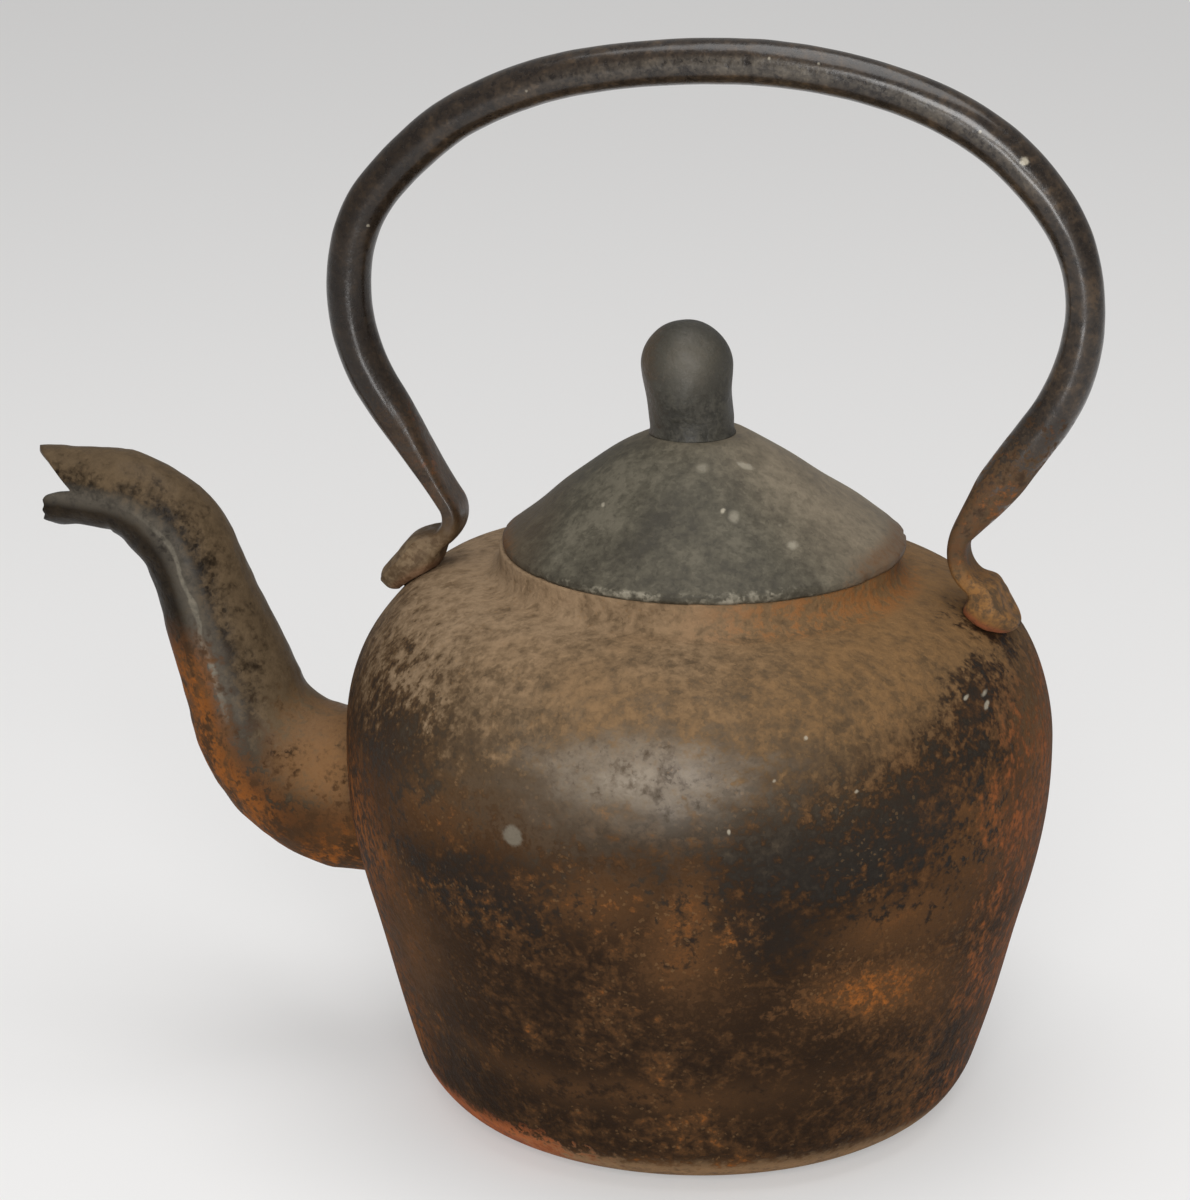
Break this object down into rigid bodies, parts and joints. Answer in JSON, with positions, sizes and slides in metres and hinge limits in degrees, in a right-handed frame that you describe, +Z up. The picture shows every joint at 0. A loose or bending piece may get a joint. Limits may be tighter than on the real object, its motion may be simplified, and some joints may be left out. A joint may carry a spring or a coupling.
{
  "type": "cast iron kettle",
  "caption": "Antique cast iron kettle: flat-based pot with swan-neck spout, tall fixed bail handle with riveted palms, and a conical lift-off lid with a finger knob.",
  "frame": {"origin": "centre of the flat base, on the surface that the kettle stands on", "axes": "+Z up along the pot's axis, spout towards -X, bail handle in the XZ plane"},
  "size_m": [0.3203, 0.2094, 0.3205],
  "materials": {
    "pot_iron": "rusted and sooty",
    "spout_iron": "worn, rusted",
    "bail_iron": "handled, satin black",
    "lid_iron": "dusty charcoal grey",
    "rivet_iron": "rusted"
  },
  "bodies": {
    "kettle": {"kettle_body": "pot_iron", "spout": "spout_iron", "bail_handle": "bail_iron", "front_palm_rivets": "rivet_iron", "rear_palm_rivets": "rivet_iron"},
    "lid": {"lid": "lid_iron", "lid_knob": "lid_iron", "knob_washer": "rivet_iron"}
  },
  "joints": [
    {"name": "lid_lift", "type": "slide", "parent": "kettle", "child": "lid", "axis": [0, 0, 1], "range_m": [0, 0.065]}
  ]
}
